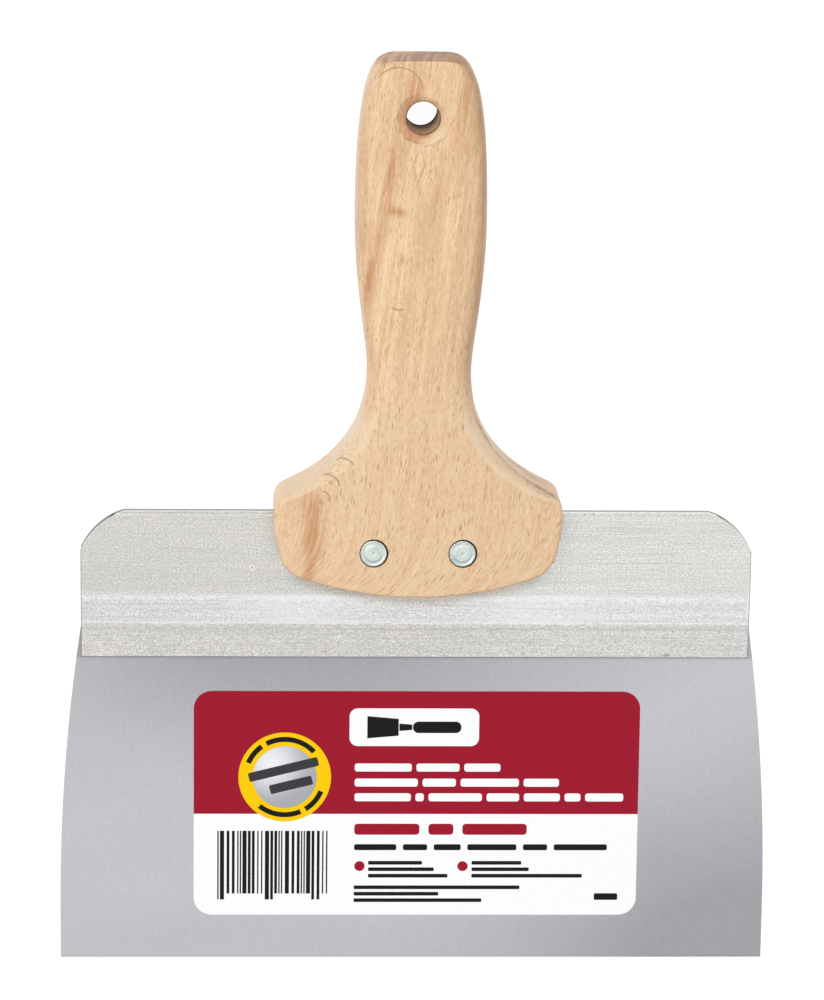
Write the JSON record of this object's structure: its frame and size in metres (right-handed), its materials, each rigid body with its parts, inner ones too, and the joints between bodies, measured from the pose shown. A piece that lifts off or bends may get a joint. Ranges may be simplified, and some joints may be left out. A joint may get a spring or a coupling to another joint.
{
  "type": "taping knife",
  "caption": "Wide flexible steel blade with flared sides, crimped in a folded aluminium back and riveted in a slotted beech handle with a hanging hole.",
  "frame": {"origin": "under the middle of the overall box, on the flat surface that the handle's back face lies on", "axes": "+X across the blade to the right as seen from the front, +Y from the working edge towards the handle's end, +Z out of the front face, the side with the label"},
  "size_m": [0.2032, 0.2622, 0.022],
  "materials": {
    "stainless_steel": "satin",
    "mill_aluminium": "satin",
    "beech": "matte",
    "rivet_steel": "satin",
    "label_film": "satin"
  },
  "bodies": {
    "root": {"blade": "stainless_steel", "aluminium_back": "mill_aluminium", "wood_handle": "beech", "left_rivet_pin_half": "rivet_steel", "left_rivet_tube_half": "rivet_steel", "right_rivet_pin_half": "rivet_steel", "right_rivet_tube_half": "rivet_steel", "label": "label_film"}
  },
  "joints": []
}
